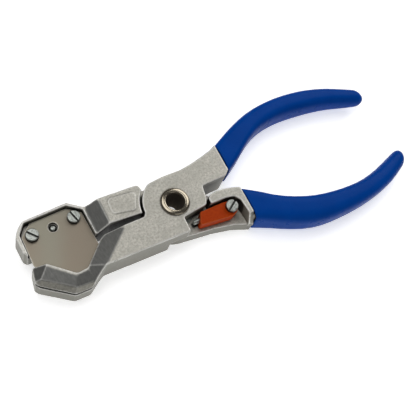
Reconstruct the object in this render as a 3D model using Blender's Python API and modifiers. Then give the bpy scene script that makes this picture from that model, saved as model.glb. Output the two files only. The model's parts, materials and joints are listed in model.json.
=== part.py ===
"""Lever cutting pliers with a flat plate blade: two crossed cast levers on a hollow rivet.

The tool lies on its back, with the rivet's axis along +Z, the jaws towards -X and the handles
towards +X.  Sizes are written in millimetres and MM turns them into metres.  Outlines are
(x, y, corner radius) measured from the rivet's axis; heights are measured from the underside.
"""

import math

import bmesh
import bpy
from mathutils import Vector

MM = 0.001

# Castings
THICKNESS = 17.5  # underside to front face of both levers
LAP_GAP = 0.7  # air between the two halves of the lap joint
BOSS_RADIUS = 17.0  # round boss of each lever at the rivet
BOSS_CLEARANCE = 1.2  # from a boss to the other lever's hollow around it
REAR_CLEARANCE = 2.0  # the same, behind the lap joint
BADGE_RISE = 0.35  # raised blank panel on the back lever

# Rivet
RIVET_RADIUS = 5.6
RIVET_WALL = 0.9
RIVET_CLEARANCE = 0.08
FLANGE_RADIUS = 7.8
FLANGE_RISE = 1.3
WASHER_RADIUS = 8.2
WASHER_THICKNESS = 1.3
LAP_WASHER_RADIUS = 11.5
LAP_WASHER_THICKNESS = 0.4

# Blade and the jaws around it
BLADE_THICKNESS = 1.8
BLADE_DEPTH = 6.0  # blade's front face below the levers' front face
BLADE_CLEARANCE = 0.25
SLOT_CLEARANCE = 0.2  # each side of the blade in the lower jaw
RIM_DEPTH = 3.2  # upper jaw's rim below the levers' front face
CHEEK_DEPTH = 2.3  # lower jaw's lip below the levers' front face
CHEEK_FALL = 1.1  # from the lip to the start of the outer slope
EDGE_GRIND = 4.5  # ground width along the cutting edge

# Screws and pins
SCREW_HEAD_RADIUS = 3.45
SCREW_HEAD_HEIGHT = 2.4
SCREW_SHANK_RADIUS = 2.0
SCREW_CLEARANCE = 0.25
SCREW_SLOT_WIDTH = 1.1
SCREW_SLOT_DEPTH = 1.2
DOWEL_RADIUS = 1.9
DOWEL_SINK = 0.9  # dowel's top below the blade's front face
SEAT_GAP = 0.1  # between pieces that bear on each other

# Catch
CATCH_DEPTH = 2.6  # catch's top below the levers' front face
CATCH_PIN_RADIUS = 1.25
CATCH_PIN_LENGTH = 9.0

# Handles and grips
HANDLE_REACH = 141.5  # rivet's axis to the end of the longer grip
GRIP_STEP = 0.2  # grip's mouth to the casting's shoulder
GRIP_WALL = 1.6
GRIP_FIT = 0.25  # grip's bore to the tang inside it
TANG_END = 0.80  # tang's end as a share of the grip's length
TANG_ROOT = -0.004  # where it starts inside the casting

# Places on the plan
BLADE_SCREWS = ((-72.5, 12.8, -50.0), (-49.9, 13.9, -74.0))  # x, y, slot angle
DOWEL_PLACE = (-61.2, 13.3)
CATCH_SCREW = (27.5, -13.3, 34.0)
GRIP_START = 35.7
LOWER_SHOULDER = 36.7
JAW_END = -80.9

# Where the rivet's axis stands from the middle of the tool's footprint
ORIGIN_X = -(HANDLE_REACH + JAW_END) / 2
ORIGIN_Y = 1.5

REAR_TOP = (THICKNESS - LAP_GAP) / 2
FRONT_BOTTOM = REAR_TOP + LAP_GAP
BLADE_TOP = THICKNESS - BLADE_DEPTH
BLADE_BOTTOM = BLADE_TOP - BLADE_THICKNESS
RIM_TOP = THICKNESS - RIM_DEPTH
CHEEK_TOP = THICKNESS - CHEEK_DEPTH
CATCH_TOP = THICKNESS - CATCH_DEPTH
HOLE_FLOOR = 2.6  # blind holes stop this far above the underside
ROUND_STEPS = 48
CHORD_ERROR = 0.02  # how far a flat side of a rounded outline may stray from its arc
BIG = 400.0

FRONT_LEVER = [
    (0.5, -17.6, 0.8), (0.6, -9.3, 1.2), (14.8, -7.6, 1.4), (16.7, -4.2, 2.0),
    (17.9, 2.7, 1.0), (32.4, 3.2, 3.0), (35.5, 5.8, 0), (35.5, 21.9, 0), (31.8, 20.1, 6),
    (24.6, 18.1, 8), (17.5, 16.5, 8), (10.9, 15.5, 8), (0.0, 15.6, 8), (-6.6, 14.9, 5),
]
FRONT_LEVER_END = [
    (-18.3, -1.2, 0.6), (-40.6, -1.5, 1.0), (-43.3, -3.0, 0.8), (-55.1, -14.0, 2.5),
    (-60.9, -14.5, 2.5), (-72.3, -4.3, 0.6), (-79.2, -2.7, 0.8), (-80.9, -10.6, 1.0), (-79.4, -12.8, 1.0),
    (-65.2, -23.3, 3.0), (-56.6, -23.5, 4.0), (-50.0, -18.9, 3.0), (-46.6, -17.0, 2.0),
]
# Room behind the front half for the back lever: its corners after and before the two boss arcs
REAR_ROOM_RIGHT = [(-9.8, -30.0, 0), (60.0, -30.0, 0), (60.0, 0.5, 0), (19.0, 0.5, 0)]
REAR_ROOM_LEFT = [(12.6, 30.0, 0), (-30.0, 30.0, 0), (-30.0, -0.5, 0)]
# The crease between the arm's dark band and the jaw's lip, and the regions each side of it
CREASE_IN = (-54.2, -10.0)
CREASE_OUT = (-55.3, -26.0)
CREASE_LAP = 0.05
LIP_REGION = [(-84.0, -26.0, 0), (-84.0, 2.0, 0), (-60.0, 2.0, 0)]
BAND_REGION = [(-43.0, 4.0, 0), (-24.0, 4.0, 0), (-24.0, -26.0, 0)]
BLADE_SLOT = [
    (-41.0, 2.0, 0), (-41.2, -8.5, 2.0), (-58.2, -25.5, 0), (-84.0, -25.5, 0), (-84.0, 2.0, 0),
]
UPPER_JAW = [
    (-43.0, 0.6, 0), (-44.8, 1.2, 1.0), (-54.6, -8.2, 2.0), (-61.0, -8.6, 2.0),
    (-73.2, 3.3, 2.0), (-78.7, 3.4, 0.8), (-80.2, 5.4, 1.0), (-80.4, 14.6, 2.0),
    (-77.7, 18.3, 2.0), (-74.2, 21.1, 3.0), (-62.6, 21.6, 0), (-50.5, 22.1, 1.5),
    (-43.0, 16.4, 3.0), (-38.0, 16.9, 0), (-38.0, 2.0, 0),
]
RECESS = [
    (-43.65, -12.0, 0), (-44.45, 15.5, 1.0), (-51.3, 20.6, 1.0), (-62.6, 20.2, 0),
    (-74.0, 19.8, 1.5), (-78.2, 14.6, 1.5), (-78.4, -12.0, 0),
]
BLADE = [
    (-43.9, -5.0, 0.4), (-54.4, -15.6, 1.5), (-61.5, -16.0, 1.5), (-73.0, -5.8, 0.4),
    (-78.0, -5.2, 0.4), (-77.6, 14.0, 0.4), (-71.0, 19.6, 0.4), (-62.6, 19.9, 0),
    (-51.4, 20.3, 0.6), (-44.75, 15.3, 0.6),
]
BLOCK = [
    (-35.4, 2.1, 0), (-43.0, 0.6, 0), (-43.0, 16.4, 0), (-36.0, 17.0, 6.0), (-13.6, 16.3, 2.2),
]
BLOCK_END = [(-19.6, 1.2, 0.5)]
BADGE = [(-32.4, 6.0, 2.0), (-32.0, 14.6, 2.0), (-16.3, 13.3, 2.0), (-20.5, 3.7, 2.0)]
LOWER_HANDLE = [
    (-4.0, -16.5, 0), (3.8, -17.5, 6), (15.6, -18.7, 8), (27.1, -21.0, 8), (36.7, -24.7, 0),
    (36.7, -5.4, 0), (33.4, -4.3, 5), (28.9, -3.2, 6), (23.2, -2.4, 3), (20.4, 0.4, 0.8),
    (10.0, 0.4, 0),
]
POCKET_RIM = [
    (17.5, -8.2, 0.7), (26.2, -8.2, 4), (31.0, -9.0, 2.5), (33.3, -12.3, 2.5),
    (34.0, -20.6, 0), (34.0, -24.1, 0), (36.7, -24.9, 0), (36.7, -5.4, 0), (33.4, -4.3, 5),
    (28.9, -3.2, 6), (23.2, -2.6, 4), (19.3, -3.2, 2), (17.5, -4.8, 1.0),
]
CATCH = [
    (7.3, -16.0, 1.0), (10.7, -9.4, 0.8), (25.2, -9.2, 1.0), (29.9, -10.4, 2.0),
    (31.4, -13.3, 2.0), (29.8, -16.4, 1.5), (26.0, -18.0, 1.0),
]
CATCH_PIN_END = (5.4, -12.6)

# Grips: share of the grip's length, middle y, width, depth, squareness
UPPER_GRIP = [
    (0.00, 13.4, 17.2, 17.3, 6.0), (0.09, 18.7, 16.6, 17.3, 5.0), (0.18, 24.2, 14.3, 17.2, 4.2),
    (0.27, 28.4, 12.4, 17.0, 3.8), (0.36, 30.6, 11.7, 16.8, 3.5), (0.46, 31.5, 11.7, 16.4, 3.3),
    (0.56, 31.1, 12.0, 15.8, 3.1), (0.65, 30.1, 11.8, 14.9, 3.0), (0.75, 28.0, 11.3, 13.8, 2.8),
    (0.84, 25.0, 10.7, 12.7, 2.6), (0.91, 22.5, 10.0, 11.4, 2.4), (0.976, 20.4, 9.0, 10.0, 2.2),
]
LOWER_GRIP = [
    (0.00, -14.5, 19.7, 17.3, 6.0), (0.09, -19.5, 18.6, 17.3, 5.0), (0.18, -25.1, 17.3, 17.2, 4.2),
    (0.28, -29.7, 16.8, 17.2, 3.8), (0.37, -32.2, 15.6, 17.2, 3.5), (0.47, -33.3, 14.1, 17.0, 3.3),
    (0.57, -33.5, 12.9, 16.6, 3.1), (0.66, -32.9, 12.1, 15.8, 3.0), (0.76, -30.9, 11.9, 14.6, 2.8),
    (0.85, -28.0, 11.8, 13.2, 2.6), (0.92, -25.0, 10.9, 11.8, 2.4), (1.00, -21.5, 9.4, 10.2, 2.2),
]
GRIP_SECTIONS = 18
BORE_SECTIONS = 12
GRIP_SIDES = 24
TIP_ROUND = 5.2  # length of the rounded end of a grip
TIP_SECTIONS = 5
SUPER_ROUND = 2.0  # exponent of a plain ellipse

ALLOY = ("cast_alloy", (0.40, 0.385, 0.35), 0.5, 0.8)
GRIP_BLUE = ("grip_blue", (0.005, 0.045, 0.26), 0.3, 0.0)
BLADE_STEEL = ("blade_steel", (0.19, 0.17, 0.13), 0.35, 0.9)
ZINC = ("zinc_steel", (0.45, 0.46, 0.43), 0.35, 0.9)
NICKEL = ("rivet_nickel", (0.38, 0.33, 0.26), 0.25, 1.0)
CATCH_ORANGE = ("catch_orange", (0.42, 0.07, 0.01), 0.45, 0.0)


def clear_scene():
    """Remove whatever the file opens with."""
    for item in list(bpy.data.objects):
        bpy.data.objects.remove(item, do_unlink=True)


def new_collection(name):
    """Add a collection to the scene and return it."""
    group = bpy.data.collections.new(name)
    bpy.context.scene.collection.children.link(group)
    return group


def new_material(spec):
    """Return the Principled material of a (name, colour, roughness, metallic) spec."""
    name, colour, roughness, metallic = spec
    found = bpy.data.materials.get(name)
    if found:
        return found
    material = bpy.data.materials.new(name)
    material.use_nodes = True
    shader = material.node_tree.nodes["Principled BSDF"]
    shader.inputs["Base Color"].default_value = (*colour, 1.0)
    shader.inputs["Roughness"].default_value = roughness
    shader.inputs["Metallic"].default_value = metallic
    material.diffuse_color = (*colour, 1.0)
    return material


def arc_points(centre, radius, start, end):
    """Points along an arc, angles in degrees."""
    step_angle = math.degrees(2 * math.sqrt(2 * CHORD_ERROR / radius))
    steps = max(2, math.ceil(abs(end - start) / step_angle))
    points = []
    for step in range(steps + 1):
        angle = math.radians(start + (end - start) * step / steps)
        points.append((centre[0] + radius * math.cos(angle), centre[1] + radius * math.sin(angle)))
    return points


def boss_arc(radius, start, end):
    """Corners along an arc about the rivet's axis, as outline corners with no rounding."""
    return [(x, y, 0) for x, y in arc_points((0.0, 0.0), radius, start, end)]


def rounded(corners):
    """Replace each corner that has a radius with an arc that touches both its sides."""
    points = []
    count = len(corners)
    for index, (x, y, radius) in enumerate(corners):
        here = Vector((x, y))
        before = Vector(corners[index - 1][:2]) - here
        after = Vector(corners[(index + 1) % count][:2]) - here
        half = before.angle(after) / 2
        reach = radius / math.tan(half)
        reach = min(reach, before.length * 0.48, after.length * 0.48)
        if radius <= 0 or reach < 0.05:
            points.append((x, y))
            continue
        turn = reach * math.tan(half)
        middle = here + (before.normalized() + after.normalized()).normalized() * turn / math.sin(half)
        first = here + before.normalized() * reach - middle
        last = here + after.normalized() * reach - middle
        start = math.degrees(math.atan2(first.y, first.x))
        sweep = (math.degrees(math.atan2(last.y, last.x)) - start + 180.0) % 360.0 - 180.0
        points.extend(arc_points(middle, turn, start, start + sweep))
    return points


def add_object(name, mesh, group, parent):
    """Put a mesh in the scene under its parent empty."""
    shape = bpy.data.objects.new(name, mesh)
    group.objects.link(shape)
    shape.parent = parent
    return shape


def weld(mesh):
    """Merge doubled points and turn every face outwards."""
    work = bmesh.new()
    work.from_mesh(mesh)
    bmesh.ops.remove_doubles(work, verts=work.verts, dist=1e-7)
    bmesh.ops.recalc_face_normals(work, faces=work.faces)
    work.to_mesh(mesh)
    work.free()


def flat_mesh(name, points, low, high):
    """Solid between two heights over a flat outline."""
    curve = bpy.data.curves.new(name, "CURVE")
    curve.dimensions = "2D"
    curve.fill_mode = "BOTH"
    curve.extrude = (high - low) / 2 * MM
    spline = curve.splines.new("POLY")
    spline.points.add(len(points) - 1)
    for point, (x, y) in zip(spline.points, points):
        point.co = (x * MM, y * MM, 0.0, 1.0)
    spline.use_cyclic_u = True
    outline = bpy.data.objects.new(name, curve)
    bpy.context.scene.collection.objects.link(outline)
    outline.location.z = (low + high) / 2 * MM
    bpy.context.view_layer.update()
    seen = outline.evaluated_get(bpy.context.evaluated_depsgraph_get())
    mesh = bpy.data.meshes.new_from_object(seen)
    mesh.transform(outline.matrix_world)
    bpy.data.objects.remove(outline, do_unlink=True)
    bpy.data.curves.remove(curve)
    weld(mesh)
    return mesh


def disc_mesh(name, centre, radius, low, high, steps=ROUND_STEPS, top_radius=None):
    """Upright cylinder, or a cone where the top has its own radius."""
    work = bmesh.new()
    bmesh.ops.create_cone(
        work, cap_ends=True, segments=steps, radius1=radius * MM,
        radius2=(radius if top_radius is None else top_radius) * MM, depth=(high - low) * MM,
    )
    shift = Vector((centre[0], centre[1], (low + high) / 2)) * MM
    bmesh.ops.translate(work, verts=work.verts, vec=shift)
    mesh = bpy.data.meshes.new(name)
    work.to_mesh(mesh)
    work.free()
    return mesh


def loft_mesh(name, rings):
    """Skin through rings of points with a flat cap at each end."""
    work = bmesh.new()
    loops = [[work.verts.new(Vector(point) * MM) for point in ring] for ring in rings]
    sides = len(loops[0])
    for lower, upper in zip(loops, loops[1:]):
        for side in range(sides):
            after = (side + 1) % sides
            work.faces.new((lower[side], lower[after], upper[after], upper[side]))
    work.faces.new(loops[0])
    work.faces.new(loops[-1])
    bmesh.ops.recalc_face_normals(work, faces=work.faces)
    mesh = bpy.data.meshes.new(name)
    work.to_mesh(mesh)
    work.free()
    return mesh


def slab_above(name, point, normal):
    """Large block whose underside passes through a point, square to the normal."""
    work = bmesh.new()
    bmesh.ops.create_cube(work, size=BIG * MM)
    bmesh.ops.translate(work, verts=work.verts, vec=(0.0, 0.0, BIG / 2 * MM))
    mesh = bpy.data.meshes.new(name)
    work.to_mesh(mesh)
    work.free()
    turn = Vector((0.0, 0.0, 1.0)).rotation_difference(Vector(normal)).to_matrix().to_4x4()
    turn.translation = Vector(point) * MM
    mesh.transform(turn)
    return mesh


class Builder:
    """Collections, the root empty, and the Boolean steps between shapes."""

    def __init__(self):
        self.parts = new_collection("cutting_pliers")
        self.tools = new_collection("cutters")
        self.root = self.empty("rivet_axis", None, (ORIGIN_X, ORIGIN_Y, 0.0))

    def empty(self, name, parent, place):
        """Add an empty that pieces hang from."""
        holder = bpy.data.objects.new(name, None)
        self.parts.objects.link(holder)
        holder.parent = parent
        holder.location = Vector(place) * MM
        return holder

    def piece(self, name, mesh, spec, parent=None):
        """Add a visible piece with its material."""
        shape = add_object(name, mesh, self.parts, parent or self.root)
        shape.data.materials.clear()
        shape.data.materials.append(new_material(spec))
        return shape

    def combine(self, target, mesh, operation):
        """Join a shape to the target, or take it away, with a Boolean modifier."""
        tool = add_object(mesh.name + "_tool", mesh, self.tools, target.parent)
        tool.hide_render = True
        tool.display_type = "WIRE"
        step = target.modifiers.new(mesh.name, "BOOLEAN")
        step.operation = operation
        step.solver = "EXACT"
        step.object = tool

    def join(self, target, mesh):
        """Add a shape to the target."""
        self.combine(target, mesh, "UNION")

    def cut(self, target, mesh):
        """Take a shape out of the target."""
        self.combine(target, mesh, "DIFFERENCE")

    def carve(self, name, mesh, cutters):
        """Return the mesh of a shape after its own cuts, ready to be joined to another."""
        blank = add_object(name, mesh, self.tools, self.root)
        made = []
        for cutter in cutters:
            tool = add_object(cutter.name, cutter, self.tools, self.root)
            made.append(tool)
            step = blank.modifiers.new(cutter.name, "BOOLEAN")
            step.operation = "DIFFERENCE"
            step.solver = "EXACT"
            step.object = tool
        bpy.context.view_layer.update()
        seen = blank.evaluated_get(bpy.context.evaluated_depsgraph_get())
        result = bpy.data.meshes.new_from_object(seen)
        result.name = name
        for item in [blank, *made]:
            bpy.data.objects.remove(item, do_unlink=True)
        weld(result)
        return result


def round_off(shape, angle=35.0):
    """Shade a piece smooth with its sharp edges kept."""
    shape.data.shade_smooth()
    shape.data.set_sharp_from_angle(angle=math.radians(angle))


def slope(low_point, high_point, low_z, high_z, side_point, side_z):
    """Point and upward normal of the plane through three points given as plan places and heights."""
    first = Vector((*low_point, low_z))
    second = Vector((*high_point, high_z))
    third = Vector((*side_point, side_z))
    normal = (second - first).cross(third - first).normalized()
    if normal.z < 0:
        normal = -normal
    return first, normal


def cheek_slabs():
    """Blocks that cut the lower jaw's lip down to its outer slopes."""
    lip = CHEEK_TOP
    fall = CHEEK_TOP - CHEEK_FALL
    seam = BLADE_TOP + SLOT_CLEARANCE + 0.3
    faces = [
        slope((-73.1, -5.2), (-61.7, -15.4), lip, lip, (-76.3, -11.5), fall),
        slope((-61.3, -15.6), (-54.8, -15.2), lip, lip, (-58.0, -21.0), fall),
        slope((-79.6, -12.3), (-65.2, -23.3), seam, seam, (-76.3, -11.5), fall),
        slope((-65.2, -23.3), (-56.6, -23.5), seam, seam, (-60.0, -21.0), fall),
        slope((-72.6, -4.3), (-77.9, -10.4), lip, fall, (-79.0, -3.0), seam + 0.2),
    ]
    return [slab_above(f"cheek_slope_{index}", *face) for index, face in enumerate(faces)]


def band_slabs():
    """Blocks that cut the arm's end down to the dark band beside the lower jaw."""
    faces = [
        slope((-29.4, -2.0), (-46.6, -17.0), THICKNESS, THICKNESS, (-49.5, -8.5), CHEEK_TOP),
        slope((-46.6, -17.0), (-54.5, -13.5), THICKNESS, CHEEK_TOP, (-55.2, -22.5), CHEEK_TOP - 1.6),
    ]
    return [slab_above(f"band_slope_{index}", *face) for index, face in enumerate(faces)]


def tip_steps(share_end):
    """Shares of a grip's length with the scale of its section at each, the end rounded off."""
    tip = TIP_ROUND / (HANDLE_REACH - GRIP_START)
    steps = [((share_end - tip) * index / GRIP_SECTIONS, 1.0) for index in range(GRIP_SECTIONS)]
    for index in range(TIP_SECTIONS + 1):
        angle = math.radians(82.0 * index / TIP_SECTIONS)
        steps.append((share_end - tip + tip * math.sin(angle), math.cos(angle)))
    return steps


def even_steps(first, last):
    """Evenly spaced shares of a grip's length, each with a whole section."""
    return [(first + (last - first) * index / BORE_SECTIONS, 1.0) for index in range(BORE_SECTIONS + 1)]


def grip_rings(stations, inset, steps):
    """Rings of a grip or its tang, drawn in by the inset, at the given shares of its length."""
    rings = []
    for share, scale in steps:
        middle, width, depth, square = station_at(stations, share)
        half_width = (width / 2 - inset) * scale
        half_depth = (depth / 2 - inset) * scale
        ring = []
        for side in range(GRIP_SIDES):
            angle = 2 * math.pi * (side + 0.5) / GRIP_SIDES
            across = math.copysign(abs(math.cos(angle)) ** (SUPER_ROUND / square), math.cos(angle))
            up = math.copysign(abs(math.sin(angle)) ** (SUPER_ROUND / square), math.sin(angle))
            place = (GRIP_START + share * (HANDLE_REACH - GRIP_START), middle + half_width * across)
            ring.append((*place, THICKNESS / 2 + half_depth * up))
        rings.append(ring)
    return rings


def shoulder_share():
    """Share of the grip's length at which the lower casting's shoulder stands."""
    return (LOWER_SHOULDER - GRIP_START) / (HANDLE_REACH - GRIP_START)


def station_at(stations, share):
    """Grip's middle, width, depth and squareness at a share of its length, on a smooth curve."""
    index = 0
    while index < len(stations) - 2 and stations[index + 1][0] < share:
        index += 1
    start = stations[index]
    end = stations[index + 1]
    before = stations[max(index - 1, 0)]
    after = stations[min(index + 2, len(stations) - 1)]
    span = end[0] - start[0]
    step = (share - start[0]) / span
    values = []
    for column in range(1, 5):
        slope_in = (end[column] - before[column]) / max(end[0] - before[0], 1e-6) * span
        slope_out = (after[column] - start[column]) / max(after[0] - start[0], 1e-6) * span
        values.append(
            start[column] * (2 * step**3 - 3 * step**2 + 1) + slope_in * (step**3 - 2 * step**2 + step)
            + end[column] * (3 * step**2 - 2 * step**3) + slope_out * (step**3 - step**2)
        )
    return values


def region_above(builder, name, outline, slabs, top):
    """Cutter over a region of the plan that leaves what lies under a height and under the slabs."""
    wide = [(x * 1.5 + 27.0, y * 1.5 + 6.0, 0) for x, y, _radius in outline]
    core = builder.carve(name + "_core", flat_mesh(name + "_core", rounded(wide), -1.0, top), slabs)
    return builder.carve(name, flat_mesh(name, rounded(outline), THICKNESS / 2, THICKNESS + 5), [core])


def add_front_lever(builder):
    """Front half of the lap joint, arm, lower jaw and the upper handle's tang."""
    boss = boss_arc(BOSS_RADIUS, 122, 178)
    outline = rounded(FRONT_LEVER + boss + FRONT_LEVER_END)
    lever = builder.piece("front_lever", flat_mesh("front_blank", outline, 0.0, THICKNESS), ALLOY)
    hollow = BOSS_RADIUS + REAR_CLEARANCE
    room = boss_arc(hollow, 181.5, 239.5) + REAR_ROOM_RIGHT + boss_arc(hollow, 9, 48) + REAR_ROOM_LEFT
    builder.cut(lever, flat_mesh("rear_room", rounded(room), -1.0, FRONT_BOTTOM))
    crease_in = (*CREASE_IN, 0)
    crease_out = (*CREASE_OUT, 0)
    lip = [crease_in, crease_out, *LIP_REGION]
    builder.cut(lever, region_above(builder, "lip", lip, cheek_slabs(), CHEEK_TOP))
    lap = [(x - CREASE_LAP, y, 0) for x, y in (CREASE_OUT, CREASE_IN)]
    band = [*lap, *BAND_REGION]
    builder.cut(lever, region_above(builder, "band", band, band_slabs(), THICKNESS + 1))
    rings = grip_rings(UPPER_GRIP, GRIP_WALL, even_steps(TANG_ROOT, TANG_END))
    builder.join(lever, loft_mesh("upper_tang", rings))
    slot_low = BLADE_BOTTOM - SLOT_CLEARANCE
    slot_high = BLADE_TOP + SLOT_CLEARANCE
    builder.cut(lever, flat_mesh("blade_slot", rounded(BLADE_SLOT), slot_low, slot_high))
    bore = RIVET_RADIUS + RIVET_CLEARANCE
    builder.cut(lever, disc_mesh("front_bore", (0.0, 0.0), bore, FRONT_BOTTOM - 1, THICKNESS + 1))


def add_back_lever(builder):
    """Rear half of the lap joint, raised block, upper jaw, catch pocket and the lower handle's tang."""
    boss = disc_mesh("boss", (0.0, 0.0), BOSS_RADIUS, 0.0, REAR_TOP, 72)
    lever = builder.piece("back_lever", boss, ALLOY)
    hollow = BOSS_RADIUS + BOSS_CLEARANCE
    block_outline = rounded(BLOCK + boss_arc(hollow, 134.5, 177) + BLOCK_END)
    facet = slope((-36.0, 17.0), (-36.0, 2.1), THICKNESS, THICKNESS, (-43.0, 8.0), RIM_TOP)
    block = builder.carve(
        "block", flat_mesh("block_blank", block_outline, 0.0, THICKNESS), [slab_above("facet", *facet)]
    )
    builder.join(lever, block)
    web = rounded([(-19.6, 1.2, 0), (-19.0, 12.0, 0), (-13.6, 16.3, 2.2), (-6.0, 15.0, 0), (-6.0, 1.2, 0)])
    builder.join(lever, flat_mesh("block_web", web, 0.0, REAR_TOP))
    builder.join(lever, flat_mesh("upper_jaw", rounded(UPPER_JAW), 0.0, RIM_TOP))
    builder.join(lever, flat_mesh("badge", rounded(BADGE), THICKNESS - 2, THICKNESS + BADGE_RISE))
    builder.join(lever, flat_mesh("lower_handle", rounded(LOWER_HANDLE), 0.0, REAR_TOP))
    corner = slope((33.0, -20.8), (37.0, -20.8), THICKNESS, THICKNESS, (35.0, -25.0), REAR_TOP)
    rim = builder.carve(
        "pocket_rim", flat_mesh("rim_blank", rounded(POCKET_RIM), REAR_TOP - 2, THICKNESS),
        [slab_above("rim_corner", *corner)],
    )
    builder.join(lever, rim)
    rings = grip_rings(LOWER_GRIP, GRIP_WALL, even_steps(shoulder_share() + TANG_ROOT, TANG_END))
    builder.join(lever, loft_mesh("lower_tang", rings))
    builder.cut(lever, flat_mesh("blade_recess", rounded(RECESS), BLADE_BOTTOM - SEAT_GAP, THICKNESS - 0.5))
    builder.cut(lever, disc_mesh("back_bore", (0.0, 0.0), RIVET_RADIUS + RIVET_CLEARANCE, -1.0, REAR_TOP + 1))
    seat = WASHER_RADIUS + 0.3
    builder.cut(lever, disc_mesh("washer_seat", (0.0, 0.0), seat, -1.0, WASHER_THICKNESS + 0.7))
    hole = SCREW_SHANK_RADIUS + SCREW_CLEARANCE
    for index, (x, y, _angle) in enumerate(BLADE_SCREWS):
        builder.cut(lever, disc_mesh(f"blade_hole_{index}", (x, y), hole, HOLE_FLOOR, BLADE_BOTTOM + 1, 24))
    builder.cut(lever, disc_mesh("dowel_hole", DOWEL_PLACE, DOWEL_RADIUS + 0.1, HOLE_FLOOR + 2, BLADE_BOTTOM + 1, 24))
    builder.cut(lever, disc_mesh("catch_hole", CATCH_SCREW[:2], hole, HOLE_FLOOR, REAR_TOP + 1, 24))


def add_grips(builder):
    """Dipped sleeves over both tangs."""
    step = GRIP_STEP / (HANDLE_REACH - GRIP_START)
    for name, stations, shoulder in (
        ("upper_grip", UPPER_GRIP, 0.0), ("lower_grip", LOWER_GRIP, shoulder_share())
    ):
        first = shoulder + step
        steps = [(max(share, first), scale) for share, scale in tip_steps(stations[-1][0])]
        grip = builder.piece(name, loft_mesh(name, grip_rings(stations, 0.0, steps)), GRIP_BLUE)
        inside = grip_rings(stations, GRIP_WALL - GRIP_FIT, even_steps(first - 0.03, TANG_END + 0.01))
        builder.cut(grip, loft_mesh(name + "_bore", inside))
        round_off(grip)


def grind_slabs():
    """Blocks that grind the back of the cutting edge, upside down against the blade's underside."""
    cuts = []
    rise = BLADE_THICKNESS - 0.3
    edges = [((-43.9, -5.0), (-54.4, -15.6)), ((-54.4, -15.6), (-61.5, -16.0)), ((-61.5, -16.0), (-73.0, -5.8))]
    for index, (start, end) in enumerate(edges):
        along = (Vector(end) - Vector(start)).normalized()
        inward = Vector((along.y, -along.x))
        if inward.y < 0:
            inward = -inward
        normal = Vector((-inward.x * rise, -inward.y * rise, -EDGE_GRIND))
        point = Vector((*start, BLADE_BOTTOM + rise))
        cuts.append(slab_above(f"grind_{index}", point, normal))
    return cuts


def add_blade(builder):
    """Flat plate blade with its two screw holes, dowel hole and ground V edge."""
    blade = builder.piece("blade", flat_mesh("blade", rounded(BLADE), BLADE_BOTTOM, BLADE_TOP), BLADE_STEEL)
    for cutter in grind_slabs():
        builder.cut(blade, cutter)
    hole = SCREW_SHANK_RADIUS + SCREW_CLEARANCE
    for index, (x, y, _angle) in enumerate(BLADE_SCREWS):
        builder.cut(blade, disc_mesh(f"screw_hole_{index}", (x, y), hole, BLADE_BOTTOM - 1, BLADE_TOP + 1, 24))
    peg = DOWEL_RADIUS + 0.6
    builder.cut(blade, disc_mesh("peg_hole", DOWEL_PLACE, peg, BLADE_BOTTOM - 1, BLADE_TOP + 1, 24))


def turned(name, profile, steps):
    """Mesh turned about the vertical axis from a closed or axis-to-axis (radius, height) profile."""
    closed = all(radius > 0 for radius, _height in profile)
    work = bmesh.new()
    verts = [work.verts.new((radius * MM, 0.0, height * MM)) for radius, height in profile]
    for first, second in zip(verts, verts[1:]):
        work.edges.new((first, second))
    if closed:
        work.edges.new((verts[-1], verts[0]))
    mesh = bpy.data.meshes.new(name)
    work.to_mesh(mesh)
    work.free()
    holder = bpy.data.objects.new(name, mesh)
    bpy.context.scene.collection.objects.link(holder)
    screw = holder.modifiers.new("turn", "SCREW")
    screw.steps = steps
    screw.render_steps = steps
    screw.use_merge_vertices = True
    screw.merge_threshold = 1e-6
    bpy.context.view_layer.update()
    seen = holder.evaluated_get(bpy.context.evaluated_depsgraph_get())
    result = bpy.data.meshes.new_from_object(seen)
    result.name = name
    bpy.data.objects.remove(holder, do_unlink=True)
    weld(result)
    return result


def add_rivet(builder):
    """Hollow rivet with its front flange, the washer it is spread over, and the lap washer."""
    bore = RIVET_RADIUS - RIVET_WALL
    top = THICKNESS + FLANGE_RISE
    seat = THICKNESS + SEAT_GAP
    lip = WASHER_RADIUS - 1.4
    profile = [
        (bore, seat - 0.3), (bore + 0.15, top - 0.45), (bore + 0.55, top - 0.1), (RIVET_RADIUS + 0.3, top),
        (FLANGE_RADIUS - 0.75, top - 0.2), (FLANGE_RADIUS - 0.2, top - 0.6), (FLANGE_RADIUS, seat + 0.25),
        (FLANGE_RADIUS - 0.15, seat), (RIVET_RADIUS, seat), (RIVET_RADIUS, 0.5), (lip, 0.5),
        (lip + 0.1, 0.3), (lip - 0.2, 0.15), (bore + 0.3, 0.15), (bore, 0.6),
    ]
    round_off(builder.piece("pivot_rivet", turned("pivot_rivet", profile, ROUND_STEPS), NICKEL), 50)
    low = 0.5 + SEAT_GAP
    inner = RIVET_RADIUS + 0.15
    ring = [
        (inner, low + WASHER_THICKNESS), (WASHER_RADIUS - 0.2, low + WASHER_THICKNESS),
        (WASHER_RADIUS, low + WASHER_THICKNESS - 0.2), (WASHER_RADIUS, low + 0.2),
        (WASHER_RADIUS - 0.2, low), (inner, low),
    ]
    round_off(builder.piece("rivet_washer", turned("rivet_washer", ring, ROUND_STEPS), ZINC))
    low = REAR_TOP + (LAP_GAP - LAP_WASHER_THICKNESS) / 2
    high = low + LAP_WASHER_THICKNESS
    inner = RIVET_RADIUS + RIVET_CLEARANCE
    ring = [(inner, high), (LAP_WASHER_RADIUS, high), (LAP_WASHER_RADIUS, low), (inner, low)]
    round_off(builder.piece("lap_washer", turned("lap_washer", ring, ROUND_STEPS), ZINC))


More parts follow.
